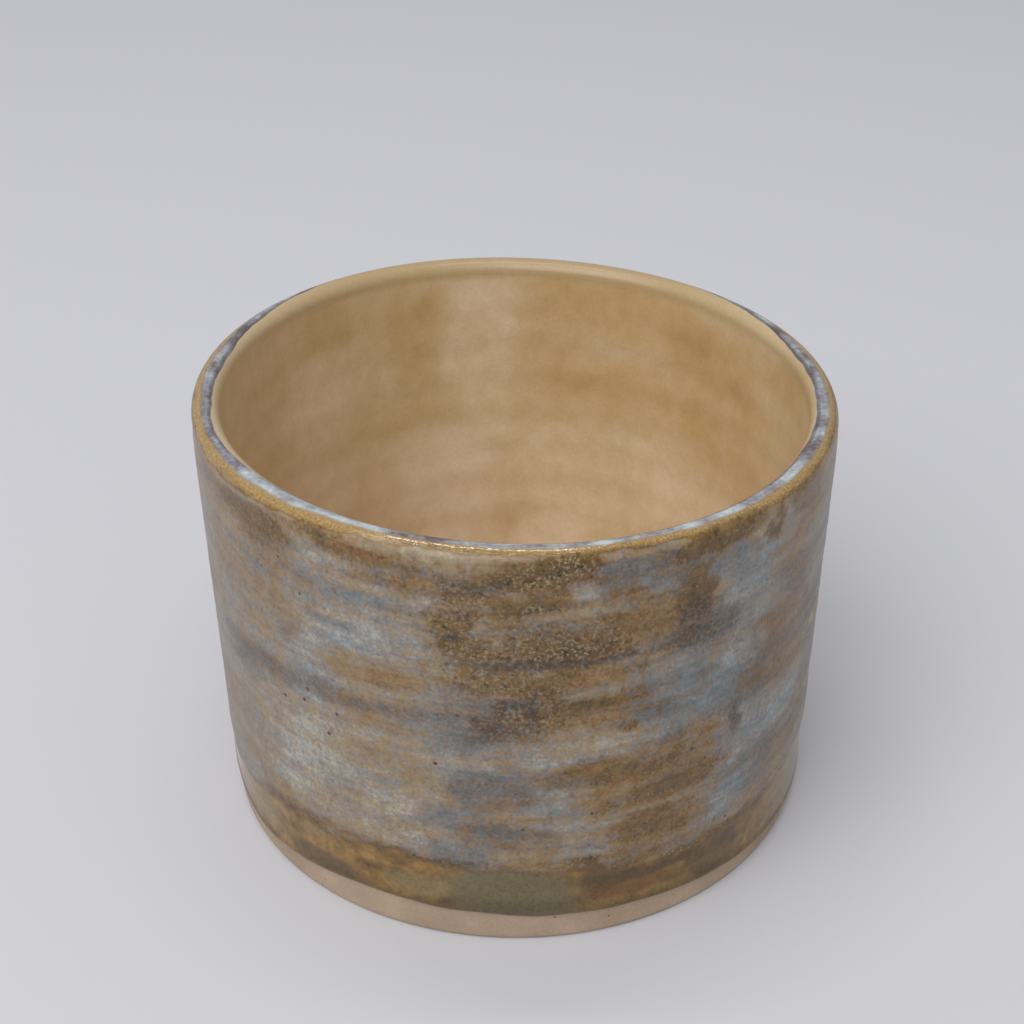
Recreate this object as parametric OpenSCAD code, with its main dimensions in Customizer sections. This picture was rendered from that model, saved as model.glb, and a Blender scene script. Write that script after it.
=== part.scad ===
// Straight-sided hand-thrown espresso cup without a handle: a stoneware body and the glaze coats on it.
// The cup stands on z = 0 with its axis on Z. Sizes are millimetres and angles are degrees.
// Every coat is drawn from the clay's own outline, so that its back lies on the surface it was laid on.

/* [Cup] */
// Outside diameter at the lip, glaze included
rim_d = 66; // [58:0.5:78]
// Height from the table to the top of the lip, glaze included
cup_h = 47; // [40:0.5:65]
// Outside diameter of the bare clay just above the foot
foot_d = 64; // [56:0.5:76]
// Thickness of the clay at the lip
lip_w = 2.3; // [1.8:0.1:3.2]
// Thickness of the clay wall where it meets the floor
low_wall = 3.6; // [2.8:0.1:5]
// Thickness of the clay floor
floor_t = 3.6; // [2.5:0.1:6]
// Radius of the thrown corner between the inside wall and the floor
corner_r = 8; // [3:0.5:14]

/* [Foot] */
// Radius of the sponged lower edge
foot_round = 0.6; // [0.4:0.1:1.5]
// Width of the flat ring that the cup stands on
ring_w = 5; // [3:0.5:9]
// Depth of the recess trimmed inside the ring
recess = 1.2; // [0.6:0.1:2]

/* [Glaze] */
// Thickness of the liner, the first coat and the lip coat
coat_t = 0.25; // [0.15:0.05:0.4]
// Thickness of the brushed second coat
brush_t = 0.2; // [0.1:0.05:0.3]
// Height of the line where the first coat starts, measured on the axis
glaze_line = 3.5; // [2.7:0.1:5]
// Tilt of that line, from the way the cup was held in the glaze
line_tilt = 2; // [0:0.1:2.2]
// Angle round the lip, from outside, where the first coat meets the lip coat
lip_from = 72; // [40:1:85]
// Angle round the lip, from outside, where the lip coat meets the liner
lip_to = 125; // [95:1:150]

/* [Brushed coat] */
// Height that the lower laps of the brush hang from
brush_line = 10; // [8:0.5:14]
// Share of the first coat's turn over the lip that the brush covered
brush_share = 0.5; // [0.3:0.1:0.6]
// Number of brush laps round the lower edge
laps = 11; // [7:1:16]
// Deepest that a lap hangs below its line
lap_drop = 2.6; // [1:0.1:3]
// Radius of a lap's lower edge
lap_r = 24; // [18:1:40]

/* [Hidden] */
$fn = 96;

// Centre of the round lip, and the radius of the clay there
lip_half = lip_w / 2;
lip_r = rim_d / 2 - coat_t - lip_half;
lip_z = cup_h - coat_t - lip_half;
lip_centre = [lip_r, lip_z];

// Foot: outer radius, and inner radius of the flat ring
foot_r = foot_d / 2;
ring_in = foot_r - foot_round - ring_w;

// Inside of the clay: floor height, and how far the wall leans out from the vertical
floor_top = recess + floor_t;
low_in_r = wall_r(floor_top) - low_wall;
lean = atan((lip_r - lip_half - low_in_r) / (lip_z - floor_top));
corner_z = floor_top + corner_r;
corner_x = low_in_r + (corner_r - corner_r * sin(lean)) * tan(lean) - corner_r * cos(lean);
corner_centre = [corner_x, corner_z];

// Brushed coat: the length over which its lower edge thins out, and how far the ring reaches below the deepest lap
feather = 0.6;
lap_spare = 0.5;
brush_low = brush_line - lap_drop - lap_spare;

// Angle round the lip where the brushed coat ends, and where it starts to thin out
brush_turn = lip_from * brush_share;
thin_turn = brush_turn / 2;

// Unevenness of the laps: the mean depth as a share of the deepest, the swing, and the step between laps
lap_mean = 0.65;
lap_swing = 0.35;
lap_step = 137;

// Segments in a quarter turn of a drawn arc
arc_steps = 12;

// Radius of the clay's straight outer wall at height z
function wall_r(z) = foot_r + (lip_r + lip_half - foot_r) * (z - foot_round) / (lip_z - foot_round);

// Points of an arc about a centre, from one angle to another
function arc(centre, r, from, to) =
    let (steps = ceil(arc_steps * abs(to - from) / 90))
    [for (i = [0 : steps]) let (a = from + (to - from) * i / steps) centre + r * [cos(a), sin(a)]];

function reversed(points) = [for (i = [len(points) - 1 : -1 : 0]) points[i]];

// Outline of the inside at a depth of glaze t, from the lip coat down to the middle of the floor
function inside(t) = concat(
    arc(lip_centre, lip_half + t, lip_to, 180),
    arc(corner_centre, corner_r - t, -lean, -90),
    [[0, floor_top + t]]
);

// Outline of the outside at a depth of glaze t, from the foot up to the lip coat
function outside(t) = concat(
    [[wall_r(foot_round) + t, foot_round]],
    arc(lip_centre, lip_half + t, 0, lip_from)
);

// Outline of the brushed coat at a depth of glaze t, from a height on the wall to an angle round the lip
function brushed(t, from_z, to_angle) = concat(
    [[wall_r(from_z) + t, from_z]],
    arc(lip_centre, lip_half + t, 0, to_angle)
);

// Outline of the top of the lip at a depth of glaze t
function crown(t) = arc(lip_centre, lip_half + t, lip_from, lip_to);

// Lower edge of a lap below the brush line, uneven as a hand leaves it
function lap_depth(i) = lap_drop * (lap_mean + lap_swing * sin(lap_step * i));

// Ring of glaze between two outlines that run the same way
module coat(back, face) {
    rotate_extrude()
        polygon(concat(back, reversed(face)));
}

// Everything below the tilted glaze line
module below_glaze_line() {
    translate([0, 0, glaze_line])
        rotate([0, line_tilt, 0])
            translate([0, 0, -cup_h])
                cylinder(h = cup_h, r = rim_d);
}

// Where the brush reached: all of the wall above its line, and round laps that hang below it
module brush_reach() {
    translate([0, 0, brush_line])
        cylinder(h = cup_h, r = rim_d);
    for (i = [0 : laps - 1])
        rotate([0, 0, i * 360 / laps])
            translate([0, -foot_r / 2, brush_line - lap_depth(i) + lap_r])
                rotate([90, 0, 0])
                    cylinder(h = foot_r, r = lap_r);
}

// Thrown clay: foot ring with its trimmed recess, straight wall, round lip, and inside with a round corner
module stoneware_body() {
    color("#a58e7d")
        rotate_extrude()
            polygon(concat(
                [[0, recess], [ring_in - recess, recess], [ring_in, 0]],
                arc([foot_r - foot_round, foot_round], foot_round, -90, 0),
                arc(lip_centre, lip_half, 0, 180),
                arc(corner_centre, corner_r, -lean, -90),
                [[0, floor_top]]
            ));
}

// Honey-tan coat over the floor and the inside wall, up to the inner edge of the lip
module liner_glaze() {
    color("#ab8564")
        coat(inside(coat_t), inside(0));
}

// Amber first coat over the outside, from the tilted line above the foot to the outer edge of the lip
module base_glaze() {
    color("#7d5f3c")
        difference() {
            coat(outside(0), outside(coat_t));
            below_glaze_line();
        }
}

// Blue-grey coat on top of the lip, between the liner and the first coat
module lip_glaze() {
    color("#8f96a3")
        coat(crown(0), crown(coat_t));
}

// Lilac-grey second coat, brushed over the first in laps
module brushed_glaze() {
    color("#968778")
        intersection() {
            coat(
                brushed(coat_t, brush_low, brush_turn),
                brushed(coat_t + brush_t, brush_low + feather, thin_turn)
            );
            brush_reach();
        }
}

stoneware_body();
liner_glaze();
base_glaze();
lip_glaze();
brushed_glaze();
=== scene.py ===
# A straight-sided espresso cup, thrown in stoneware and glazed in several coats, dressed over its solids.
# Lengths are millimetres until points are placed. Angles go round from the front (-Y) towards +X.
import math

import bpy
import numpy as np
from mathutils import Matrix, Vector, noise


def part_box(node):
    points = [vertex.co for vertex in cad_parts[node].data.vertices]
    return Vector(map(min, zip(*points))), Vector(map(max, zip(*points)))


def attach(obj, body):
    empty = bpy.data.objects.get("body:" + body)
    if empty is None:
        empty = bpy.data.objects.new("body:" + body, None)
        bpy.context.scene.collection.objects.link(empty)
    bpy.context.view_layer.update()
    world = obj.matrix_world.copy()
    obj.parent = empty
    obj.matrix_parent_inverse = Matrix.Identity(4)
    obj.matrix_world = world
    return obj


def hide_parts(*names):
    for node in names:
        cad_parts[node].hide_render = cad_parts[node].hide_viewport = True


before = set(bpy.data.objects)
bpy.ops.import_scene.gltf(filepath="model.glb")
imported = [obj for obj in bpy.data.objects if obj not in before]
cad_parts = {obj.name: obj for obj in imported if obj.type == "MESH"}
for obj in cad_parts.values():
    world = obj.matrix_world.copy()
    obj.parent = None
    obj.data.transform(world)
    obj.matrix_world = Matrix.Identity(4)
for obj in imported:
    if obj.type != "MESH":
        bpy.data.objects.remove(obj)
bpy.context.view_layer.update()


# Stoneware body: buff clay thrown on a wheel, trimmed under the foot and wiped with a sponge.
# Foot, floor, wall and lip are one lump. It shows bare as a pale band round the foot and underneath,
# and the coats of glaze cover the rest.
MM = 0.001

# Points round every ring, and their angles.
COLUMNS = 600
theta = np.linspace(0, 2 * np.pi, COLUMNS, endpoint=False)

# Sizes measured on the solids, then the sizes that those were drawn with, then what follows from both.
cup_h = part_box("lip_glaze")[1].z / MM
rim_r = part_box("base_glaze")[1].x / MM
clay_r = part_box("stoneware_body")[1].x / MM
floor_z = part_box("liner_glaze")[0].z / MM
foot_r = 32.0
foot_round = 0.6
ring_w = 5.0
recess = 1.2
lip_half = 1.15
low_wall = 3.6
corner_r = 8.0
coat_t = rim_r - clay_r
lip_r = clay_r - lip_half
lip_z = cup_h - coat_t - lip_half
ring_in = foot_r - foot_round - ring_w

# The lip slopes down to the right and waves a little, and the wall is a little oval, as a hand leaves them.
# The turns say where round the cup the oval and the wave lie, in radians.
lip_slope = math.tan(math.radians(1.27))
oval = 0.08
oval_turn = 0.7
lip_wave = 0.08
wave_turn = 1.0

# Trimming leaves fine turned lines under the foot.
trim_pitch = 1.1
trim_depth = 0.03

# Edges that turn by more than this stay sharp.
crease = math.radians(50)


def linear(hex_colour):
    """Linear RGBA of an sRGB hex colour."""
    parts = [int(hex_colour[i:i + 2], 16) / 255 for i in (1, 3, 5)]
    return [c / 12.92 if c <= 0.04045 else ((c + 0.055) / 1.055) ** 2.4 for c in parts] + [1.0]


def arc(centre, radius, start, end, count):
    """Radius and height of points along an arc, in degrees from outwards towards up."""
    a = np.radians(np.linspace(start, end, count))
    return np.stack([centre[0] + radius * np.cos(a), centre[1] + radius * np.sin(a)], axis=1)


def line(start, end, count):
    """Radius and height of points along a straight line, its first point left out."""
    return np.linspace(start, end, count + 1)[1:]


def wall_r(z):
    """Radius of the clay's outer face at a height."""
    return foot_r + (clay_r - foot_r) * (z - foot_round) / (lip_z - foot_round)


def as_thrown(r, z):
    """Places rings of radius r and height z, in metres, with the unevenness of a cup thrown by hand."""
    up = z / cup_h
    r = r + oval * np.cos(2 * theta - oval_turn) * up
    x = r * np.sin(theta)
    y = -r * np.cos(theta)
    lift = lip_wave * np.cos(3 * theta + wave_turn) - lip_slope * x
    return np.stack(np.broadcast_arrays(x, y, z + lift * up), axis=-1) * MM


def turned(name, rings, poles=()):
    """A mesh through rings of points: a closed loop of rings, or a run between two poles on the axis."""
    count = len(rings)
    across = np.arange(count - 1 if poles else count)[:, None] * COLUMNS
    along = np.arange(COLUMNS)[None, :]
    beside = (along + 1) % COLUMNS
    above = (across + COLUMNS) % (count * COLUMNS)
    corners = (across + along, across + beside, above + beside, above + along)
    faces = np.stack(corners, axis=-1).reshape(-1, 4).tolist()
    points = rings.reshape(-1, 3).tolist()
    if poles:
        first, last = len(points), len(points) + 1
        top = (count - 1) * COLUMNS
        points += [list(p) for p in poles]
        faces += [[first, (j + 1) % COLUMNS, j] for j in range(COLUMNS)]
        faces += [[top + j, top + (j + 1) % COLUMNS, last] for j in range(COLUMNS)]
    mesh = bpy.data.meshes.new(name)
    mesh.from_pydata(points, [], faces)
    mesh.shade_smooth()
    mesh.set_sharp_from_angle(angle=crease)
    piece = bpy.data.objects.new(name, mesh)
    bpy.context.scene.collection.objects.link(piece)
    return piece


def add(tree, kind, inputs=None, stops=None, **settings):
    """Adds a shader node with its settings, colour stops and inputs: values, sockets or other nodes."""
    made = tree.nodes.new("ShaderNode" + kind)
    for name, value in settings.items():
        setattr(made, name, value)
    if stops:
        ramp = made.color_ramp.elements
        ramp.remove(ramp[1])
        ramp[0].position, ramp[0].color = stops[0][0], linear(stops[0][1])
        for place, colour in stops[1:]:
            ramp.new(place).color = linear(colour)
    for key, value in (inputs or {}).items():
        socket = made.inputs[key] if isinstance(key, int) else next(
            s for s in made.inputs if s.name == key and s.enabled)
        if isinstance(value, bpy.types.Node):
            value = next(s for s in value.outputs if s.enabled)
        if isinstance(value, bpy.types.NodeSocket):
            tree.links.new(value, socket)
        else:
            socket.default_value = value
    return made


def new_material(name):
    """An empty node material, its tree, and its surface coordinates in millimetres."""
    material = bpy.data.materials.new(name)
    material.use_nodes = True
    tree = material.node_tree
    tree.nodes.clear()
    place = add(tree, "TexCoord")
    mm = add(tree, "VectorMath", {0: place.outputs["Object"], "Scale": 1 / MM}, operation="SCALE")
    return material, tree, mm


inner_low_r = wall_r(floor_z) - low_wall
lean = math.atan((clay_r - 2 * lip_half - inner_low_r) / (lip_z - floor_z))
corner_centre = (
    inner_low_r + corner_r * (1 - math.sin(lean)) * math.tan(lean) - corner_r * math.cos(lean),
    floor_z + corner_r,
)
wall_foot = (corner_centre[0] + corner_r * math.cos(lean), corner_centre[1] - corner_r * math.sin(lean))

# The outline runs from the middle of the recess round the foot, up the wall, over the lip and down to the
# middle of the floor, with finer steps on the band that shows bare. Each stretch ends with how many points
# it has. The hub is the last ring round the axis.
bare_top = 5.0
clay_hub = 1.0
clay_outline = np.concatenate([
    line((0, recess), (ring_in - recess, recess), 24),
    line((ring_in - recess, recess), (ring_in, 0), 4),
    arc((foot_r - foot_round, foot_round), foot_round, -90, 0, 9),
    line((foot_r, foot_round), (wall_r(bare_top), bare_top), 14),
    line((wall_r(bare_top), bare_top), (clay_r, lip_z), 20),
    arc((lip_r, lip_z), lip_half, 0, 180, 13)[1:],
    line((lip_r - lip_half, lip_z), wall_foot, 12),
    arc(corner_centre, corner_r, -math.degrees(lean), -90, 8)[1:],
    line((corner_centre[0], floor_z), (clay_hub, floor_z), 4),
])
clay_rr, clay_zz = [np.repeat(column[:, None], COLUMNS, axis=1) for column in clay_outline.T]
underneath = (clay_rr < ring_in - recess) & (clay_zz < floor_z)
trim_lines = trim_depth * np.sin(2 * np.pi * clay_rr / trim_pitch + theta)
clay_zz[underneath] += trim_lines[underneath]
stoneware = turned(
    "stoneware_cup",
    as_thrown(clay_rr, clay_zz),
    poles=((0, 0, recess * MM), (0, 0, floor_z * MM)),
)

# Buff stoneware, fired bare and wiped smooth: matt and pale, with fine grog and a few iron specks.
# Its patterns in mm: drifts of tone, grains of grog, and the gap between specks.
clay_drift_mm = 7
grog_mm = 0.25
clay_speck_gap_mm = 2.4
stoneware_clay, tree, mm = new_material("buff_stoneware_bare")
tone = add(tree, "TexNoise", {"Vector": mm, "Scale": 1 / clay_drift_mm, "Detail": 4.0})
clay_colour = add(tree, "ValToRGB", {"Fac": tone}, stops=[(0.35, "#a9927b"), (0.65, "#bba58e")])
grog = add(tree, "TexNoise", {"Vector": mm, "Scale": 1 / grog_mm, "Detail": 2.0})
grog_shade = add(tree, "ValToRGB", {"Fac": grog}, stops=[(0.3, "#d2cbc4"), (0.6, "#ffffff")])
grained = add(
    tree, "Mix", {"Factor": 0.3, "A": clay_colour, "B": grog_shade}, data_type="RGBA", blend_type="MULTIPLY")
iron = add(tree, "TexVoronoi", {"Vector": mm, "Scale": 1 / clay_speck_gap_mm})
iron_spot = add(tree, "MapRange", {"Value": iron, "From Min": 0.06, "From Max": 0.03})
spotted = add(tree, "Mix", {"Factor": iron_spot, "A": grained, "B": linear("#5a4030")}, data_type="RGBA")
clay_bump = add(tree, "Bump", {"Height": grog, "Strength": 0.4, "Distance": 0.015 * MM})
clay_shader = add(tree, "BsdfPrincipled", {"Base Color": spotted, "Roughness": 0.8, "Normal": clay_bump})
add(tree, "OutputMaterial", {"Surface": clay_shader})
stoneware.data.materials.append(stoneware_clay)

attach(stoneware, "root")
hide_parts("stoneware_body")


# Liner: the honey glaze poured into the cup and out again, over the floor and the inside wall up to the lip.
# It fired glossy, amber where it ran thick and pinkish tan where it is thin, over faint throwing rings.

# The throwing rings: how far apart and how deep they are, and the length over which they fade at each end.
throw_pitch = 4.6
throw_depth = 0.035
throw_fade = 6.0

# How far the back of each coat is sunk into what carries it, so that no gap shows.
sunk = 0.02


def turn_from(angle):
    """Angle in radians of every column from a place round the cup, the short way round."""
    return np.angle(np.exp(1j * (theta - math.radians(angle))))


def around(angles, values, spread):
    """A smooth value round the cup: each place adds its value near its own angle, in degrees."""
    total = np.zeros(COLUMNS)
    for angle, value in zip(angles, values):
        apart = np.degrees(turn_from(angle))
        total += value * np.exp(-(apart / spread) ** 2)
    return total


def patchwork(rings, size, stretch=1.0, seed=0):
    """Seeded smooth noise from -1 to 1 at every point of the rings: size in mm, stretched round the cup."""
    seed_step = 17.3
    scaled = rings / MM / size * np.array([1 / stretch, 1 / stretch, 1.0]) + seed * seed_step
    flat = [noise.noise(Vector(p)) for p in scaled.reshape(-1, 3)]
    return np.array(flat).reshape(rings.shape[:-1])


def ramped(value, low, high):
    """Smooth step from 0 at low to 1 at high."""
    t = np.clip((value - low) / (high - low), 0, 1)
    return t * t * (3 - 2 * t)


def keep_field(piece, name, values):
    """Stores one number per point on a piece, for its material, with 0 for the points left over."""
    flat = np.zeros(len(piece.data.vertices), np.float32)
    flat[:values.size] = values.ravel()
    piece.data.attributes.new(name, "FLOAT", "POINT").data.foreach_set("value", flat)


# Where the coats meet on the lip, as an angle round it from outside. The lip coat's outer edge lies further
# out at both sides of the front. Its inner edge lies outwards on the left and inwards on the right, and round
# the back both ran off outwards, so that the liner's tan shows. Both wander by a few degrees.
ring_points = as_thrown(np.full((1, COLUMNS), lip_r), np.full((1, COLUMNS), lip_z))
at_back = ramped(-np.cos(theta), 0.2, 0.95)
wander_out = 5 * patchwork(ring_points, 5.0, seed=1)[0] + 5 * patchwork(ring_points, 1.6, seed=2)[0]
wander_in = 8 * patchwork(ring_points, 6.0, seed=3)[0] + 5 * patchwork(ring_points, 1.6, seed=4)[0]
meet_out = 78 - 44 * at_back + around((-55, 54), (-22, -10), spread=28) + wander_out
meet_in = 128 - 62 * at_back + around((-66, 50), (-26, 10), spread=16) + wander_in


def lip_rows(start, end, depth, count):
    """Radius and height round the lip at a depth of glaze, between two angles that change along it."""
    a = np.radians(start + (end - start) * np.linspace(0, 1, count)[:, None])
    return lip_r + (lip_half + depth) * np.cos(a), lip_z + (lip_half + depth) * np.sin(a)


# The liner's last ring round the axis.
liner_hub = 0.8


def inside_rows(depth, wall_count, floor_count):
    """Radius and height down the inside at a depth of glaze, from the lip to near the middle."""
    lip_rr, lip_zz = lip_rows(meet_in, 180.0, depth, count=8)
    down = np.concatenate([
        line((lip_r - lip_half - depth, lip_z), np.add(wall_foot, (-depth, 0)), wall_count),
        arc(corner_centre, corner_r - depth, -math.degrees(lean), -90, 12)[1:],
        line((corner_centre[0], floor_z + depth), (liner_hub, floor_z + depth), floor_count),
    ])
    rr, zz = [np.repeat(column[:, None], COLUMNS, axis=1) for column in down.T]
    return np.concatenate([lip_rr, rr]), np.concatenate([lip_zz, zz])


back_rr, back_zz = inside_rows(-sunk, wall_count=10, floor_count=4)
face_rr, face_zz = inside_rows(coat_t, wall_count=84, floor_count=16)
rings_top = lip_z - 1
rings_show = ramped(face_zz, floor_z, floor_z + throw_fade)
rings_show *= ramped(face_zz, rings_top, rings_top - throw_fade)
face_rr = face_rr + throw_depth * rings_show * np.sin(2 * np.pi * face_zz / throw_pitch + theta)
inside_face = as_thrown(face_rr, face_zz)
liner = turned(
    "honey_liner",
    np.concatenate([as_thrown(back_rr, back_zz)[::-1], inside_face]),
    poles=((0, 0, (floor_z - sunk) * MM), (0, 0, (floor_z + coat_t) * MM)),
)

# Amber patches and pale patches of the liner: angle, height, width along the wall, height of the patch. Below
# them, how amber it is elsewhere and how much a patch changes that.
LINER_AMBER = [
    (204, 37, 6, 14), (198, 42, 5, 5), (226, 43, 8, 7), (148, 32.5, 20, 7), (127, 40, 12, 9),
    (104, 43, 10, 6), (124, 33, 14, 14), (150, 42, 18, 8), (170, 39, 8, 14), (80, 30, 16, 12),
    (20, 34, 18, 10), (-30, 26, 16, 12), (0, 18, 26, 8)]
LINER_PALE = [
    (189, 37, 9, 20), (112, 45.5, 6, 2), (130, 20, 10, 8), (165, 19, 26, 12), (214, 18, 22, 14),
    (198, 18, 12, 16), (236, 24, 12, 10), (171, 11, 9, 6), (232, 34, 10, 12), (60, 36, 16, 12),
    (-10, 38, 18, 12), (-60, 34, 16, 14)]
amber_rest = 0.45
amber_gain = 0.15
pale_loss = 0.2


def patch(rr, zz, angle, height, wide, tall, ragged=0.0, soft=0.45, aside=0.0):
    """One patch of glaze, a rounded oblong with a soft edge: 1 at its middle and 0 outside it."""
    along = rr * turn_from(angle) + aside
    reach = (np.abs(along / wide * 2) ** 3 + np.abs((zz - height) / tall * 2) ** 3) ** (1 / 3) + ragged
    return ramped(reach, 1 + soft, 1 - soft)


liner_ragged = 0.4 * patchwork(inside_face, 5.0, stretch=1.6, seed=5)
amber = amber_rest + 0.12 * patchwork(inside_face, 7.0, stretch=2.0, seed=6)
for spot in LINER_AMBER:
    amber += amber_gain * patch(face_rr, face_zz, *spot, ragged=liner_ragged)
for spot in LINER_PALE:
    amber -= pale_loss * patch(face_rr, face_zz, *spot, ragged=liner_ragged)

# It turns tan in the last millimetre or so below the lip, from higher up round the back. The tan is darker
# round the back and at the right.
rim_tan = ramped(face_zz + 0.5 * liner_ragged - 0.6 * at_back, lip_z - 1.4, lip_z - 0.2)
rim_dark = at_back + around((94,), (0.7,), spread=16)
keep_field(liner, "amber", np.concatenate([np.full(back_rr.shape, 0.5), amber]))
keep_field(liner, "rim_tan", np.concatenate([np.zeros(back_rr.shape), rim_tan]))
keep_field(liner, "rim_dark", np.broadcast_to(rim_dark, (len(back_rr) + len(face_rr), COLUMNS)))

# Honey glaze, poured and fired glossy: soft clouds of colour with no hard edge, and tan towards the lip.
# Its patterns in mm: clouds, fine grain, and the peel of the surface.
cloud_mm = 2.2
honey_grain_mm = 0.4
honey_peel_mm = 1.4
honey_glaze, tree, mm = new_material("honey_liner_glaze")
amber_here = add(tree, "Attribute", attribute_name="amber")
cloud = add(tree, "TexNoise", {"Vector": mm, "Scale": 1 / cloud_mm, "Detail": 4.0})
cloud_swing = add(tree, "Math", {0: cloud, 1: 0.5}, operation="SUBTRACT")
run = add(tree, "Math", {0: cloud_swing, 1: 0.45, 2: amber_here.outputs["Fac"]}, operation="MULTIPLY_ADD")
honey_colour = add(tree, "ValToRGB", {"Fac": run}, stops=[
    (0.0, "#e6d0b6"), (0.4, "#d0b792"), (0.65, "#c6a87a"), (0.95, "#b08f60")])
rim_here = add(tree, "Attribute", attribute_name="rim_tan")
rim_amount = add(tree, "Math", {0: rim_here.outputs["Fac"], 1: 0.8}, operation="MULTIPLY")
dark_here = add(tree, "Attribute", attribute_name="rim_dark")
rim_colour = add(
    tree, "ValToRGB", {"Fac": dark_here.outputs["Fac"]}, stops=[(0.0, "#c6b08c"), (1.0, "#ab936a")])
rimmed = add(tree, "Mix", {"Factor": rim_amount, "A": honey_colour, "B": rim_colour}, data_type="RGBA")
honey_grain = add(tree, "TexNoise", {"Vector": mm, "Scale": 1 / honey_grain_mm, "Detail": 2.0})
honey_shade = add(tree, "ValToRGB", {"Fac": honey_grain}, stops=[(0.3, "#e6e0d8"), (0.6, "#ffffff")])
honey_mottled = add(
    tree, "Mix", {"Factor": 0.3, "A": rimmed, "B": honey_shade}, data_type="RGBA", blend_type="MULTIPLY")
honey_peel = add(tree, "TexNoise", {"Vector": mm, "Scale": 1 / honey_peel_mm, "Detail": 2.0})
honey_bump = add(tree, "Bump", {"Height": honey_peel, "Strength": 0.4, "Distance": 0.03 * MM})
honey_shader = add(tree, "BsdfPrincipled", {
    "Base Color": honey_mottled, "Roughness": 0.3, "IOR": 1.5, "Normal": honey_bump})
add(tree, "OutputMaterial", {"Surface": honey_shader})
liner.data.materials.append(honey_glaze)

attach(liner, "root")
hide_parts("liner_glaze")


# First coat: an iron glaze over the outside, dipped to a slightly tilted line above the foot.
# It gathered in a thin bead along that line, broke to gold on the lip, and shows amber, olive and rust
# below the second coat and wherever that coat is thin.
glaze_line = 3.5
line_slope = math.tan(math.radians(2.0))

# The bead along that line: its height, how far above the line it lies, half its width, and the length over
# which the coat rises from its edge.
bead = 0.1
bead_above = 0.45
bead_half = 0.3
edge_run = 0.25

# The line wavers, and dips at both sides of the front.
line_z = glaze_line - line_slope * foot_r * np.sin(theta) + 0.2 * patchwork(ring_points, 5.0, seed=7)[0]
line_z -= around((-58, 58), (2.2, 0.5), spread=19)


def first_coat_depth(z):
    """Depth of the first coat at heights above its line, with the bead that gathered there."""
    over = z - line_z
    edge = np.clip(over / edge_run, 0, 1)
    risen = (coat_t + sunk) * np.sqrt(edge * (2 - edge)) - sunk
    return risen + bead * np.exp(-((over - bead_above) / bead_half) ** 2)


def outside_rows(depth_of, count):
    """Radius and height up the outside from the glaze line to the lip, with closer rows near the line."""
    crowding = 1.25
    zz = line_z + (lip_z - line_z) * np.linspace(0, 1, count)[:, None] ** crowding
    return wall_r(zz) + depth_of(zz), zz


face_rr, face_zz = outside_rows(first_coat_depth, count=110)
lip_rr, lip_zz = lip_rows(0.0, meet_out, coat_t, count=9)
back_rr, back_zz = outside_rows(lambda z: -sunk, count=8)
under_rr, under_zz = lip_rows(0.0, meet_out, -sunk, count=5)
first_rr = np.concatenate([face_rr, lip_rr[1:], under_rr[::-1], back_rr[::-1][1:]])
first_zz = np.concatenate([face_zz, lip_zz[1:], under_zz[::-1], back_zz[::-1][1:]])
first_rings = as_thrown(first_rr, first_zz)
first_coat = turned("iron_first_coat", first_rings)

# Stretches of the bare band above the foot by colour: angle, height, width along the wall, height.
BAND = {
    "olive": [
        (-1.2, 6.5, 11.6, 9), (135, 7, 16, 8), (200, 6, 12, 8), (262, 7, 18, 8)],
    "rust": [
        (22, 5.7, 10, 2.4), (88, 6, 14, 5), (165, 6, 16, 6), (232, 6, 12, 6)],
    "straw": [
        (-18, 6, 6, 3), (-58, 6, 8, 4), (62, 6.5, 8, 5), (-40, 8.4, 4, 1.6), (6, 9, 2.4, 1),
        (25, 8.9, 5, 1.2), (110, 7, 10, 3), (185, 8, 8, 3)],
    "umber": [
        (-38, 5, 10, 2.4), (15, 8.4, 4.6, 4), (25, 7.2, 12, 1.2), (38, 5.5, 8, 4), (150, 8, 8, 3),
        (215, 5, 10, 3)],
}

# The gold is a narrow strip under the lip coat at the front, and reaches lower at both sides: the angle round
# the lip where it starts, and the lengths below and above that over which it comes in.
gold_turn = 60 + around((-58,), (-44,), spread=27) + around((54,), (-16,), spread=25)
gold_turn += around((37,), (16,), spread=5)
gold_fade = 0.8 + around((54,), (0.6,), spread=25)
gold_rise = 0.45
lip_face = lip_half + coat_t


def over_lip(rr, zz):
    """Length up the outside from where the lip starts to turn, negative below."""
    return np.where(zz > lip_z, lip_face * np.arctan2(zz - lip_z, rr - lip_r), zz - lip_z)


def gold_at(rr, zz, wander):
    """How gold the first coat is near the lip."""
    starts = lip_face * np.radians(gold_turn)
    return ramped(over_lip(rr, zz) + 0.4 * wander, starts - gold_fade, starts + gold_rise)


def keep_first_tones(piece, rings, rr, zz):
    """Stores the first coat's colours on a piece: the band's stretches, the gold, and the dark edge."""
    drift = patchwork(rings, 3.0, stretch=4.0, seed=8)
    wander = patchwork(rings, 1.5, stretch=2.0, seed=14)
    for name, spots in BAND.items():
        shown = np.zeros(zz.shape)
        for spot in spots:
            stretch = patch(foot_r, zz, *spot, ragged=0.35 * drift + 0.15 * wander, soft=0.35)
            shown = np.maximum(shown, stretch)
        keep_field(piece, name, shown)
    keep_field(piece, "gold", gold_at(rr, zz, wander))
    keep_field(piece, "heavy", ramped(zz - line_z + drift, 2.0, 0.3))


keep_first_tones(first_coat, first_rings, first_rr, first_zz)


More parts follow.
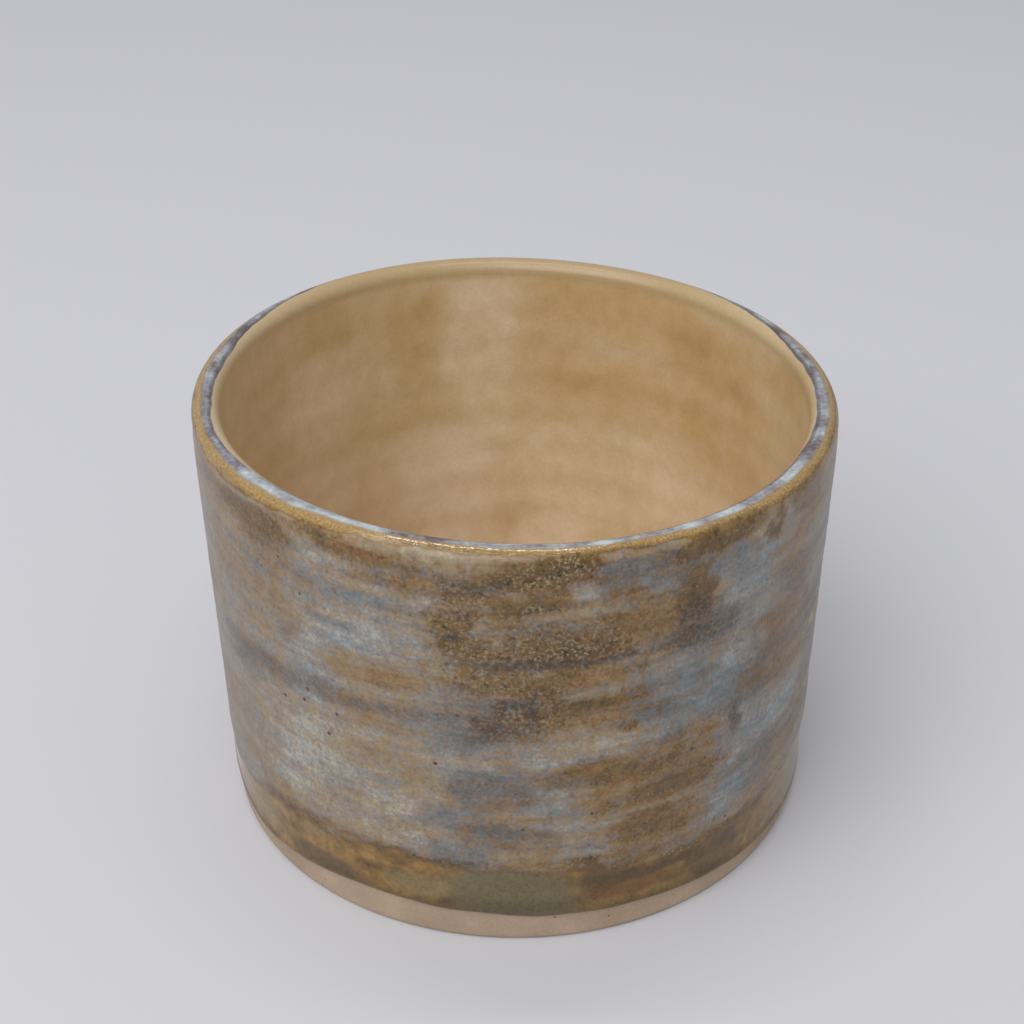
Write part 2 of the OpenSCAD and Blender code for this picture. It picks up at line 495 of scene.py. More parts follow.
def first_coat_colour(tree, mm):
    """Colour nodes of the iron glaze: amber ground, olive, rust and dark stretches, gold on the lip."""
    # Its patterns in mm: streaks, blotches, dark pepper, and the grain of the gold.
    streak_long_mm = 14
    streak_tall_mm = 2.2
    blotch_mm = 1.4
    pepper_mm = 0.4
    gold_grain_mm = 0.22
    stretched = (1 / streak_long_mm, 1 / streak_long_mm, 1 / streak_tall_mm)
    drawn = add(tree, "Mapping", {"Vector": mm, "Scale": stretched})
    streak = add(tree, "TexNoise", {"Vector": drawn, "Scale": 1.0, "Detail": 3.0})
    blotch = add(tree, "TexNoise", {"Vector": mm, "Scale": 1 / blotch_mm, "Detail": 4.0})
    tone = add(tree, "Math", {0: streak, 1: blotch}, operation="ADD")
    half_tone = add(tree, "Math", {0: tone, 1: 0.5}, operation="MULTIPLY")
    colour = add(tree, "ValToRGB", {"Fac": half_tone}, stops=[
        (0.36, "#5a4324"), (0.5, "#806132"), (0.62, "#9e7a46")])
    for field, shade, share in (
            ("rust", "#74502c", 0.75), ("olive", "#6c664c", 0.85), ("straw", "#8f7a52", 0.7),
            ("umber", "#54432c", 0.7), ("heavy", "#51432d", 0.5)):
        here = add(tree, "Attribute", attribute_name=field)
        amount = add(tree, "Math", {0: here.outputs["Fac"], 1: share}, operation="MULTIPLY")
        colour = add(tree, "Mix", {"Factor": amount, "A": colour, "B": linear(shade)}, data_type="RGBA")
    grain = add(tree, "TexNoise", {"Vector": mm, "Scale": 1 / pepper_mm, "Detail": 3.0})
    pepper = add(tree, "ValToRGB", {"Fac": grain}, stops=[(0.36, "#6f6454"), (0.52, "#ffffff")])
    ground = add(
        tree, "Mix", {"Factor": 0.25, "A": colour, "B": pepper}, data_type="RGBA", blend_type="MULTIPLY")
    fine = add(tree, "TexNoise", {"Vector": mm, "Scale": 1 / gold_grain_mm, "Detail": 3.0})
    gold = add(tree, "ValToRGB", {"Fac": fine}, stops=[
        (0.34, "#94774d"), (0.5, "#a28656"), (0.66, "#b19562")])
    here = add(tree, "Attribute", attribute_name="gold")
    fine_swing = add(tree, "Math", {0: fine, 1: 0.5}, operation="SUBTRACT")
    broken = add(tree, "Math", {0: fine_swing, 1: 0.9, 2: here.outputs["Fac"]}, operation="MULTIPLY_ADD")
    amount = add(tree, "MapRange", {"Value": broken, "From Min": 0.2, "From Max": 0.95})
    return add(tree, "Mix", {"Factor": amount, "A": ground, "B": gold}, data_type="RGBA")


# Iron glaze, dipped: glossy over a fine pebbled skin, brown where thick and gold where it thins over the lip.
iron_peel_mm = 0.3
iron_glaze, tree, mm = new_material("amber_iron_glaze")
iron_peel = add(tree, "TexNoise", {"Vector": mm, "Scale": 1 / iron_peel_mm, "Detail": 2.0})
iron_bump = add(tree, "Bump", {"Height": iron_peel, "Strength": 0.6, "Distance": 0.025 * MM})
iron_shader = add(tree, "BsdfPrincipled", {
    "Base Color": first_coat_colour(tree, mm), "Roughness": 0.07, "IOR": 1.5, "Normal": iron_bump})
add(tree, "OutputMaterial", {"Surface": iron_shader})
first_coat.data.materials.append(iron_glaze)

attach(first_coat, "root")
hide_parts("base_glaze")


# Lip coat: the blue-grey glaze wiped along the top of the lip, between the liner and the first coat.
# It broke into pale blue flecks and darker violet stretches as it ran off the edge.
crown_rows = 16
bed_rows = 6
crown_rr, crown_zz = lip_rows(meet_out, meet_in, coat_t, crown_rows)
bed_rr, bed_zz = lip_rows(meet_out, meet_in, -sunk, bed_rows)
lip_rings = as_thrown(np.concatenate([crown_rr, bed_rr[::-1]]), np.concatenate([crown_zz, bed_zz[::-1]]))
lip_coat = turned("blue_grey_lip", lip_rings)

# Lines that the wiping left along the lip, drawn on a strip as wide as the coat, and how the coat thins
# towards gold outside and towards dark violet inside.
strip_w = 1.4
share = np.concatenate([np.linspace(0, 1, crown_rows), np.linspace(1, 0, bed_rows)])
across = np.repeat(share[:, None], COLUMNS, axis=1)
strip = np.broadcast_arrays(lip_r * np.sin(theta), -lip_r * np.cos(theta), strip_w * across)
wiped_lines = patchwork(np.stack(strip, axis=-1) * MM, 0.35, stretch=14.0, seed=18)
ragged_across = across + 0.15 * wiped_lines
inner_share = 1 - around((-45,), (0.75,), spread=24)
keep_field(lip_coat, "thin_edge", ramped(ragged_across, 0.2, 0.03))
keep_field(lip_coat, "inner_edge", ramped(ragged_across, 0.62, 0.8) * inner_share)

# Pale and dark stretches along the lip: the angles of each, and then how strong they are.
LIP_PALE = (
    (-48, -34, -24, 2, 14, 27, 36, 55, 160, 215),
    (0.2, 0.3, 0.25, 0.1, 0.3, 0.3, 0.35, 0.3, 0.3, 0.3))
LIP_DARK = (
    (-88, -79, -65, -15, 7, 21, 45, 65, 84, 92, 101, 112, 140, 190, 250),
    (0.15, 0.2, 0.2, 0.5, 0.15, 0.35, 0.4, 0.2, 0.15, 0.15, 0.3, 0.3, 0.4, 0.4, 0.4))
pale_round = 0.45 + around(*LIP_PALE, spread=6) - around(*LIP_DARK, spread=5)
blots = patchwork(lip_rings, 1.3, stretch=1.6, seed=9)
keep_field(lip_coat, "pale", pale_round + 0.5 * blots + 0.2 * wiped_lines)

# Blue-grey glaze, wiped on: glossy, with flecks of about half a millimetre.
fleck_mm = 0.6
lip_glaze, tree, mm = new_material("blue_grey_lip_glaze")
pale_here = add(tree, "Attribute", attribute_name="pale")
fleck = add(tree, "TexNoise", {"Vector": mm, "Scale": 1 / fleck_mm, "Detail": 4.0})
fleck_swing = add(tree, "Math", {0: fleck, 1: 0.5}, operation="SUBTRACT")
flecked = add(tree, "Math", {0: fleck_swing, 1: 1.0, 2: pale_here.outputs["Fac"]}, operation="MULTIPLY_ADD")
lip_colour = add(tree, "ValToRGB", {"Fac": flecked}, stops=[
    (0.0, "#605659"), (0.35, "#87868c"), (0.65, "#a3a9ad"), (1.0, "#c0cacd")])
inner_here = add(tree, "Attribute", attribute_name="inner_edge")
inner_amount = add(tree, "Math", {0: inner_here.outputs["Fac"], 1: 0.65}, operation="MULTIPLY")
darker = add(tree, "Mix", {"Factor": inner_amount, "A": lip_colour, "B": linear("#4c4143")}, data_type="RGBA")
thin_here = add(tree, "Attribute", attribute_name="thin_edge")
thin_amount = add(tree, "Math", {0: thin_here.outputs["Fac"], 1: 0.7}, operation="MULTIPLY")
thinned = add(tree, "Mix", {"Factor": thin_amount, "A": darker, "B": linear("#98794f")}, data_type="RGBA")
lip_bump = add(tree, "Bump", {"Height": fleck, "Strength": 0.5, "Distance": 0.04 * MM})
lip_shader = add(tree, "BsdfPrincipled", {
    "Base Color": thinned, "Roughness": 0.25, "IOR": 1.5, "Normal": lip_bump})
add(tree, "OutputMaterial", {"Surface": lip_shader})
lip_coat.data.materials.append(lip_glaze)

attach(lip_coat, "root")
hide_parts("lip_glaze")


# Second coat: a milky glaze brushed round over the first, in short overlapping strokes.
# Thick strokes fired pale blue and lilac, middling ones taupe, and thin ones let the amber show through.
# It thins out over the lip, and its lower edge hangs in uneven laps above the foot.

# Its thickness where it is milkiest, where it is clear, and in the film that still lies near its edges.
brush_t = 0.2
thin_t = 0.04
film_t = 0.012

# The line that its laps hang from, how far it runs on below them too thin to show, and the lengths over which
# it thins out at the bottom and at the top.
lap_line = 10.4
lap_spare = 1.2
low_feather = 3.0
top_feather = 0.8

# Laps along the lower edge: angle, lowest height, half width in degrees. Round the back they come every 19
# degrees and follow a seeded hand.
LAPS = [
    (-68, 6.9, 18), (-49, 9.2, 10), (-34, 9.7, 11), (-11, 9.2, 10), (6, 9.0, 9), (20, 8.8, 9), (30, 8.2, 9),
    (40, 8.2, 8), (56, 8.8, 11)]
hand = np.random.default_rng(7)
LAPS += [(angle, hand.uniform(7.8, 9.8), hand.uniform(9, 15)) for angle in range(78, 290, 19)]

low_z = np.full(COLUMNS, lap_line)
for angle, lowest, half in LAPS:
    apart = np.degrees(turn_from(angle))
    low_z = np.minimum(low_z, lowest + (lap_line - lowest) * (apart / half) ** 2)
low_z += 0.5 * patchwork(ring_points, 1.8, seed=10)[0] - lap_spare

# Its upper edge wanders a few degrees past the start of the gold, and stays clear of the lip coat.
past_gold = 7
lip_clear = 6
top_wander = 9 * patchwork(ring_points, 3.5, seed=11)[0] + 7 * patchwork(ring_points, 1.2, seed=15)[0]
top_turn = np.clip(gold_turn + past_gold + top_wander, lip_clear, meet_out - lip_clear)

# The strokes by what they left, in the order they were laid: angle, height along the wall and on over the
# lip, length and width in mm.
STROKES = [
    ("lilac", [
        (-31, 42.3, 11, 3.6), (-26, 37, 16, 6.6), (-36, 32.5, 7, 5), (-13.5, 42, 3.4, 4.4),
        (-13, 27.5, 5.5, 5), (27, 37.6, 3, 1.6), (26, 33, 8, 2.2), (4, 23.8, 7, 2), (-29, 18, 13, 6),
        (5, 18.6, 7, 3.2), (12.5, 13.6, 5.5, 4.4), (-9, 22.5, 5.5, 5), (-43, 12, 4.4, 3),
        (38.5, 9.4, 4.4, 1.8), (-37, 25.8, 7, 2.6), (44, 36.5, 8, 3.4), (42, 32, 6, 4.4),
        (42.5, 31.2, 6, 3.4), (-40, 30, 4, 5), (-41, 12.3, 8, 3.2)]),
    ("chalk", [
        (-41, 17.6, 7.5, 9.5), (-37, 22.5, 5.5, 4.4), (-21, 17, 6, 2.6)]),
    ("sky", [
        (42, 42, 7, 3.6), (40, 38.5, 6.5, 4.4), (40, 20, 7, 7.4), (37, 25.4, 6, 3.6), (41.5, 17, 7.5, 6),
        (39, 12, 6.6, 4.6), (-37, 28.4, 4.6, 3), (-27, 35.8, 7, 2.6), (53, 20, 7, 4.4)]),
    ("mist", [
        (33, 29, 14, 5.4), (26, 28.8, 7, 4.2), (38, 43, 5, 4), (-26, 40.3, 10, 1.3), (-11.5, 16.6, 5, 4),
        (-15, 12, 7, 3.4), (30, 32, 3.4, 2.2), (-8, 26.6, 5, 3.6), (23, 43, 4, 1.6), (-5, 20, 6, 4)]),
    ("blush", [
        (-47, 22.5, 4.4, 5.4), (-24, 24, 10, 3.4), (-28, 21, 9, 3), (-28, 13, 10, 4.2),
        (-11.5, 46.1, 10, 2.2), (-12.5, 32.8, 6.5, 3), (-42, 45.6, 9, 1.3), (11, 26.2, 10, 1.8),
        (3, 40.3, 8, 1.4), (46, 45, 5, 3), (-20, 13, 8, 3), (-14, 19, 5, 3), (13, 25, 12, 2),
        (15, 14.6, 7, 4.4), (13, 40.6, 5, 1.8)]),
    ("tan", [
        (-27, 31.8, 7, 1.8), (-20, 31.8, 5, 2), (-42, 36.6, 2.8, 3.4), (-45, 41.6, 6, 2.4),
        (60, 43.6, 6, 3), (-24, 22.6, 5.4, 1.6), (-52, 36.5, 9, 2.2), (-62, 36, 8, 4), (-48, 11, 4, 2.4),
        (-45, 40, 6, 2), (-22, 26, 8, 1.4), (14, 18.5, 7, 2), (-4, 17.8, 5.6, 2.2), (1.5, 12.6, 5.6, 4.4),
        (21, 46, 1.2, 2.6), (41, 44, 1, 3.6), (54, 10, 12, 3.4), (55, 14, 7, 4), (56, 39, 9, 5),
        (53, 31, 8, 2.6), (-41, 33.2, 2.6, 1.6)]),
    ("dusk", [
        (-54, 26.2, 7, 3.2), (-46, 27.4, 6, 2), (-33, 27.8, 9, 1.8), (-22, 28.2, 9, 2), (-4, 29, 9, 6.5),
        (44, 25.8, 6, 2.6), (49, 15.6, 7, 4.2), (-8.5, 20.7, 4, 1.8), (-3, 20, 7, 3), (-3, 14.5, 6, 3),
        (56, 36, 6, 4), (-57, 44, 14, 2.2), (16, 44.6, 8, 3.2), (24, 45.2, 3, 2.4), (28.5, 42.6, 3.6, 4)]),
    ("amber", [
        (-20.5, 43.2, 8, 2.4), (20.5, 38.8, 8, 4.2), (23, 40.6, 5, 1.3), (11, 33.4, 11, 2.2),
        (10.5, 28.3, 13, 2.5), (30, 22.8, 8, 3.6), (48.5, 33, 5, 2.2), (25, 18, 12, 4.4),
        (25, 12.6, 10, 5), (31, 19.4, 9, 3.6), (8, 9.8, 7, 1.6), (27, 10, 10, 1.8), (-33, 45.2, 5, 1.2),
        (-45, 42, 5, 1.8), (18, 42.2, 5, 1.6), (-41, 10.2, 9, 1.1), (-27, 10.4, 7, 0.9)]),
    ("brown", [
        (-45, 43.7, 7, 1.6), (2.5, 42.2, 6, 3.6), (30, 40, 2.4, 6), (13, 30.3, 10, 1.8),
        (15, 21.8, 9, 2.4), (20, 27.1, 2, 1.1), (29, 18.2, 7, 1.6), (50, 26.8, 7, 3), (55, 30.4, 7, 5),
        (57, 27, 9, 4.2), (57.5, 44.8, 5, 4), (24, 14.5, 6, 3), (47, 44.2, 1.2, 3), (-25.5, 44.8, 9, 1.3)]),
    ("olive", [
        (0, 44, 6.6, 2.2), (-8, 42.6, 5.6, 3.2), (-10.5, 38.6, 3.8, 3.8), (-5, 35.4, 8.4, 3.6),
        (6, 37, 12, 4.4), (0.5, 33, 8, 3.2), (3, 28.4, 5.6, 3.2), (12, 10.6, 4, 1)]),
    ("bark", [
        (8, 45.9, 5, 1.8), (4, 44.8, 7, 1.8), (-1, 43.9, 4.4, 1.4), (-9.5, 38, 3, 2.4), (27, 8.4, 12, 1),
        (2, 41.4, 3, 0.9), (10, 36.4, 6, 1.2), (-32, 45.4, 3, 1.2)]),
    ("drip", [
        (-50.5, 44.4, 7, 1.2), (33, 45.6, 5, 1.6), (37.5, 46, 5, 1.6), (28.5, 45, 4.4, 1.5),
        (30, 39.4, 2.6, 3), (51, 28, 8, 3)]),
    ("slate", [
        (-4, 43.5, 2.6, 1.5), (-8, 43.2, 3.4, 1.1), (-10, 37.6, 3, 0.9), (8, 35.2, 15, 0.8),
        (30.5, 36.3, 7.5, 3), (31, 38.8, 3, 2), (-3.2, 27.6, 3.8, 2.4), (40, 23.6, 1.6, 3.4),
        (-13, 10.2, 7, 0.9), (-1.5, 30.4, 3, 1.6), (1.8, 29.5, 0.7, 5)]),
    ("dab", [
        (41.3, 31.4, 3.6, 1.8), (9.6, 43.2, 1.6, 2.2), (-17, 34.6, 5, 1.2), (4, 15.6, 5, 1)]),
]

# What a stroke leaves: how milky, how cool in hue, how smoky, how full of crystals, and how fully it covers.
LEFT_BY = {
    "lilac": (0.84, 0.5, 0.0, 0.0, 0.9),
    "chalk": (0.98, 0.38, 0.0, 0.0, 0.85),
    "sky": (0.86, 0.95, 0.0, 0.0, 0.85),
    "mist": (0.64, 1.0, 0.08, 0.0, 0.8),
    "blush": (0.86, 0.12, 0.0, 0.0, 0.85),
    "tan": (0.56, 0.1, 0.0, 0.0, 0.85),
    "dusk": (0.55, 0.55, 0.42, 0.0, 0.85),
    "amber": (0.4, 0.0, 0.0, 0.2, 0.85),
    "brown": (0.16, 0.02, 0.22, 0.3, 0.95),
    "olive": (0.34, 0.15, 0.12, 0.7, 0.95),
    "bark": (0.0, 0.0, 0.45, 1.0, 0.95),
    "drip": (0.02, 0.05, 0.5, 0.4, 0.95),
    "slate": (0.38, 0.55, 0.9, 0.2, 0.92),
    "dab": (0.95, 0.6, 0.0, 0.0, 0.85),
}

# Round the back the strokes follow the same seeded hand: how many there are of each kind. A stroke is 1.4 to
# 4.6 mm wide and 2 to 4.5 times as long.
BACK_COUNTS = {
    "lilac": 24, "chalk": 4, "sky": 14, "mist": 12, "blush": 18, "tan": 22, "dusk": 14,
    "amber": 14, "brown": 9, "olive": 9, "bark": 6, "drip": 4, "slate": 6, "dab": 3,
}
for kind, strokes in STROKES:
    for _ in range(BACK_COUNTS[kind]):
        width = hand.uniform(1.4, 4.6)
        strokes.append((hand.uniform(64, 296), hand.uniform(10, 45), width * hand.uniform(2, 4.5), width))

# Rows of points up the wall and on round the lip, on the face of the first coat. from_top is the length along
# the coat from its upper edge, and unrolled is the height along the wall and on over the lip.
wall_rows = 116
turn_rows = 12
wall_zz = low_z + (lip_z - low_z) * np.linspace(0, 1, wall_rows)[:, None]
turn_share = np.linspace(0, 1, turn_rows + 1)[1:, None]
turn_rr, turn_zz = lip_rows(0.0, top_turn, coat_t, turn_rows + 1)
face_zz = np.concatenate([wall_zz, turn_zz[1:]])
bare_rr = np.concatenate([wall_r(wall_zz) + first_coat_depth(wall_zz), turn_rr[1:]])
turn_length = lip_face * np.radians(top_turn)
from_top = np.concatenate([lip_z - wall_zz + turn_length, (1 - turn_share) * turn_length])
unrolled = lip_z + over_lip(bare_rr, face_zz)
wall_points = as_thrown(bare_rr, face_zz)

# The marks of the brush's hairs, the frayed edges of strokes, and crumbs where the two coats melted together.
hair = patchwork(wall_points, 0.9, stretch=8.0, seed=12)
frayed = patchwork(wall_points, 2.4, stretch=2.2, seed=13)
crumbled = patchwork(wall_points, 0.9, stretch=1.2, seed=16)
ragged = 0.35 * hair + 0.4 * frayed + 0.15 * crumbled

# How far the outline of a stroke wanders upwards and sideways, in mm. It wanders up less near the lip.
calm_from = 43.5
calm_to = 45.5
upward = 0.35 * patchwork(wall_points, 3.2, stretch=1.8, seed=19) + 0.25 * crumbled
upward *= 1 - 0.7 * ramped(unrolled, calm_from, calm_to)
sideways = 1.8 * patchwork(wall_points, 2.6, seed=20) + 0.9 * patchwork(wall_points, 1.0, seed=21)

# Milk, cool, smoke and crystals: what lies between the strokes, and then each stroke over it.
milk_between = 0.7
cool_between = 0.35
fields = np.zeros((4,) + face_zz.shape)
fields[0] = milk_between + 0.08 * frayed
fields[1] = cool_between + 0.45 * patchwork(wall_points, 6.0, stretch=1.8, seed=17)
for kind, strokes in STROKES:
    *left, cover = LEFT_BY[kind]
    for stroke in strokes:
        laid = cover * patch(bare_rr, unrolled + upward, *stroke, ragged=ragged, soft=0.85, aside=sideways)
        for field, value in zip(fields, left):
            field += (value - field) * laid
milk, cool, smoke, crystals = fields
milk += 0.06 * hair + 0.03 * crumbled

# Towards both edges the milk clears, to a little below 0, and it is gone where the gold starts. Just under
# the lip it fired warmer, though less so right of the middle.
clear = 0.2
edge_low = np.clip((face_zz - low_z) / low_feather, 0, 1)
edge_top = np.clip(from_top / top_feather, 0, 1)
shown_low = ramped(edge_low + 0.2 * frayed + 0.1 * crumbled, 0.05, 0.8)
shown_top = ramped(edge_top + 0.3 * crumbled, 0.1, 0.9)
milk = (milk + clear) * shown_low * shown_top - clear
milk -= 1.2 * ramped(gold_at(bare_rr, face_zz, crumbled), 0.6, 0.85)
smoke *= edge_low
cool -= (0.6 - around((19,), (0.45,), spread=9)) * ramped(from_top, 2.6, 0.3)

# Its thickness: the milkier the thicker, thinning out at both edges, where a film still lies on the first
# coat.
tapered = ramped(edge_low, 0, 1) * ramped(from_top, 0, 3.4)
thick = (brush_t - thin_t) * np.clip(milk, 0, 1) * ramped(from_top, 0.8, 5)
streaked = (thin_t + thick + 0.02 * hair + sunk) * tapered - sunk
film = (film_t + sunk) * ramped(edge_low, 0.4, 0.7) * ramped(from_top, 0, 0.35) - sunk
lift = np.maximum(streaked, film)
outward = np.concatenate([np.zeros(wall_rows), turn_share[:, 0]])[:, None] * np.radians(top_turn)
face_rr = bare_rr + lift * np.cos(outward)
raised_zz = face_zz + lift * np.sin(outward)

# Its back, sunk into the first coat.
back_rows = 8
back_turn_rows = 4
wall_back_zz = low_z + (lip_z - low_z) * np.linspace(0, 1, back_rows)[:, None]
wall_back_rr = wall_r(wall_back_zz) + first_coat_depth(wall_back_zz) - sunk
turn_back_rr, turn_back_zz = lip_rows(0.0, top_turn, coat_t - sunk, back_turn_rows)
back_rr = np.concatenate([wall_back_rr, turn_back_rr[1:]])
back_zz = np.concatenate([wall_back_zz, turn_back_zz[1:]])
brushed_rr = np.concatenate([face_rr, back_rr[::-1]])
brushed_zz = np.concatenate([raised_zz, back_zz[::-1]])
brushed_rings = as_thrown(brushed_rr, brushed_zz)
brushed_coat = turned("milky_second_coat", brushed_rings)
keep_first_tones(brushed_coat, brushed_rings, brushed_rr, brushed_zz)
milky_fields = {"milk": milk, "cool": cool, "smoke": smoke, "crystals": crystals}
for name, values in milky_fields.items():
    keep_field(brushed_coat, name, values)

# Milky glaze brushed over iron glaze: satin, faintly streaked by the brush, and broken into fine lilac
# and tan specks where the two melted together. Its patterns in mm: streaks, mottles, grain and specks.
brush_long_mm = 7
brush_tall_mm = 0.9
mottle_mm = 1.8
grain_mm = 0.36
specks_mm = 0.55
milky_glaze, tree, mm = new_material("lilac_grey_brushed_glaze")
under_colour = first_coat_colour(tree, mm)
milk_here, cool_here, smoke_here, crystals_here = [
    add(tree, "Attribute", attribute_name=name).outputs["Fac"] for name in milky_fields]
stretched = (1 / brush_long_mm, 1 / brush_long_mm, 1 / brush_tall_mm)
drawn = add(tree, "Mapping", {"Vector": mm, "Scale": stretched})
streak = add(tree, "TexNoise", {"Vector": drawn, "Scale": 1.0, "Detail": 3.0})
mottle = add(tree, "TexNoise", {"Vector": mm, "Scale": 1 / mottle_mm, "Detail": 3.0})
grain = add(tree, "TexNoise", {"Vector": mm, "Scale": 1 / grain_mm, "Detail": 2.0, "Roughness": 0.6})
specks = add(
    tree, "TexNoise", {"Vector": mm, "W": 3.7, "Scale": 1 / specks_mm, "Detail": 3.0}, noise_dimensions="4D")

# How deep the milk is at a point. The mottles and the grain stand out more among crystals.
coarse = add(tree, "Math", {0: crystals_here, 1: 1.5, 2: 0.6}, operation="MULTIPLY_ADD")
patchy = add(tree, "Math", {0: crystals_here, 1: 1.1, 2: 0.5}, operation="MULTIPLY_ADD")
depth = milk_here
for pattern, weight in ((streak, 0.5), (mottle, patchy), (grain, coarse)):
    swing = add(tree, "Math", {0: pattern, 1: 0.5}, operation="SUBTRACT")
    depth = add(tree, "Math", {0: swing, 1: weight, 2: depth}, operation="MULTIPLY_ADD")
shade = add(tree, "Math", {0: depth, 1: 0.8}, operation="MULTIPLY")

# Its colours from clear to deep, for each of its hues, and its hue at a point: specks, mottles and streaks
# swing it from tan through lilac to pale blue.
MILK_DEPTHS = (0.08, 0.32, 0.52, 0.68, 0.8, 1.0)
MILK_COLOURS = {
    "tan": ("#603f19", "#896539", "#957c59", "#9d8b72", "#ada18d", "#c6bcab"),
    "lilac": ("#574a3f", "#70655c", "#827872", "#908883", "#a5a099", "#c0bbb2"),
    "sky": ("#4f4b47", "#63686a", "#747b7e", "#868e91", "#9da4a4", "#bcc1be"),
}
tan_colour, lilac_colour, sky_colour = [
    add(tree, "ValToRGB", {"Fac": shade}, stops=list(zip(MILK_DEPTHS, colours)))
    for colours in MILK_COLOURS.values()]
hue = cool_here
for pattern, weight in ((specks, 1.8), (mottle, 1.0), (streak, 1.4)):
    apart_hue = add(tree, "SeparateColor", {"Color": pattern.outputs["Color"]})
    swing = add(tree, "Math", {0: apart_hue.outputs["Green"], 1: 0.5}, operation="SUBTRACT")
    hue = add(tree, "Math", {0: swing, 1: weight, 2: hue}, operation="MULTIPLY_ADD", use_clamp=True)
to_lilac = add(tree, "MapRange", {"Value": hue, "From Min": 0.0, "From Max": 0.55})
to_sky = add(tree, "MapRange", {"Value": hue, "From Min": 0.55, "From Max": 1.0})
tan_lilac = add(tree, "Mix", {"Factor": to_lilac, "A": tan_colour, "B": lilac_colour}, data_type="RGBA")
milk_colour = add(tree, "Mix", {"Factor": to_sky, "A": tan_lilac, "B": sky_colour}, data_type="RGBA")
covered = add(
    tree, "MapRange", {"Value": depth, "From Min": 0.0, "From Max": 0.5}, interpolation_type="SMOOTHSTEP")
over_iron = add(tree, "Mix", {"Factor": covered, "A": under_colour, "B": milk_colour}, data_type="RGBA")

# Olive among the crystals, smoke where a stroke left it, and dark pepper all over, denser among the crystals.
olive_amount = add(tree, "Math", {0: crystals_here, 1: 0.45}, operation="MULTIPLY")
olived = add(tree, "Mix", {"Factor": olive_amount, "A": over_iron, "B": linear("#6a5531")}, data_type="RGBA")
smoke_grain = add(tree, "MapRange", {
    "Value": grain, "From Min": 0.35, "From Max": 0.65, "To Min": 1.0, "To Max": 0.4})
smoke_amount = add(tree, "Math", {0: smoke_here, 1: smoke_grain}, operation="MULTIPLY")
smoked = add(tree, "Mix", {"Factor": smoke_amount, "A": olived, "B": linear("#43332a")}, data_type="RGBA")
pepper = add(tree, "MapRange", {"Value": specks, "From Min": 0.46, "From Max": 0.36})
pepper_share = add(tree, "Math", {0: crystals_here, 1: 0.7, 2: 0.22}, operation="MULTIPLY_ADD")
pepper_amount = add(tree, "Math", {0: pepper, 1: pepper_share}, operation="MULTIPLY")
peppered = add(tree, "Mix", {"Factor": pepper_amount, "A": smoked, "B": linear("#2e2415")}, data_type="RGBA")

# Rusty flecks, mostly among the crystals, where the iron is strong.
speck_channels = add(tree, "SeparateColor", {"Color": specks.outputs["Color"]})
rusty = add(tree, "MapRange", {"Value": speck_channels.outputs["Blue"], "From Min": 0.53, "From Max": 0.64})
rusty_share = add(tree, "Math", {0: crystals_here, 1: 0.6, 2: 0.08}, operation="MULTIPLY_ADD")
rusty_amount = add(tree, "Math", {0: rusty, 1: rusty_share}, operation="MULTIPLY")
rusted = add(tree, "Mix", {"Factor": rusty_amount, "A": peppered, "B": linear("#6a4122")}, data_type="RGBA")

# Fine pale crystals in the olive stretches, and round ones where they are densest, drawn coarse to show.
crystal_gap_mm = 0.42
fine_crystals = add(tree, "MapRange", {"Value": grain, "From Min": 0.54, "From Max": 0.66, "To Max": 0.55})
fine_amount = add(tree, "Math", {0: fine_crystals, 1: crystals_here}, operation="MULTIPLY")
finely = add(tree, "Mix", {"Factor": fine_amount, "A": rusted, "B": linear("#a39871")}, data_type="RGBA")
crystal_cells = add(tree, "TexVoronoi", {"Vector": mm, "Scale": 1 / crystal_gap_mm})
crystal_dot = add(tree, "MapRange", {
    "Value": crystal_cells, "From Min": 0.38, "From Max": 0.14, "To Max": 0.5})
densest = add(tree, "MapRange", {"Value": crystals_here, "From Min": 0.45, "From Max": 0.9})
crystal_share = add(tree, "Math", {0: crystal_dot, 1: densest}, operation="MULTIPLY")
crystalled = add(
    tree, "Mix", {"Factor": crystal_share, "A": finely, "B": linear("#aeab88")}, data_type="RGBA")

# A faint drift between reddish and greenish, as the iron and the milk mixed.
mottle_channels = add(tree, "SeparateColor", {"Color": mottle.outputs["Color"]})
drift_tint = add(tree, "ValToRGB", {"Fac": mottle_channels.outputs["Blue"]}, stops=[
    (0.38, "#fff0ea"), (0.62, "#f2fff0")])
drifted = add(
    tree, "Mix", {"Factor": 0.3, "A": crystalled, "B": drift_tint}, data_type="RGBA", blend_type="MULTIPLY")

# Scattered red-brown iron specks.
iron_gap_mm = 3.4
speck_cells = add(tree, "TexVoronoi", {"Vector": mm, "Scale": 1 / iron_gap_mm})
speck = add(tree, "MapRange", {"Value": speck_cells, "From Min": 0.08, "From Max": 0.04})
specked = add(tree, "Mix", {"Factor": speck, "A": drifted, "B": linear("#5a2b16")}, data_type="RGBA")

# Clear stretches are glossy and milky ones are satin.
milky_bump = add(tree, "Bump", {"Height": depth, "Strength": 0.5, "Distance": 0.04 * MM})
milky_gloss = add(tree, "MapRange", {"Value": covered, "To Min": 0.08, "To Max": 0.36})
milky_shader = add(tree, "BsdfPrincipled", {
    "Base Color": specked, "Roughness": milky_gloss, "IOR": 1.5, "Normal": milky_bump})
add(tree, "OutputMaterial", {"Surface": milky_shader})
brushed_coat.data.materials.append(milky_glaze)

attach(brushed_coat, "root")
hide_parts("brushed_glaze")


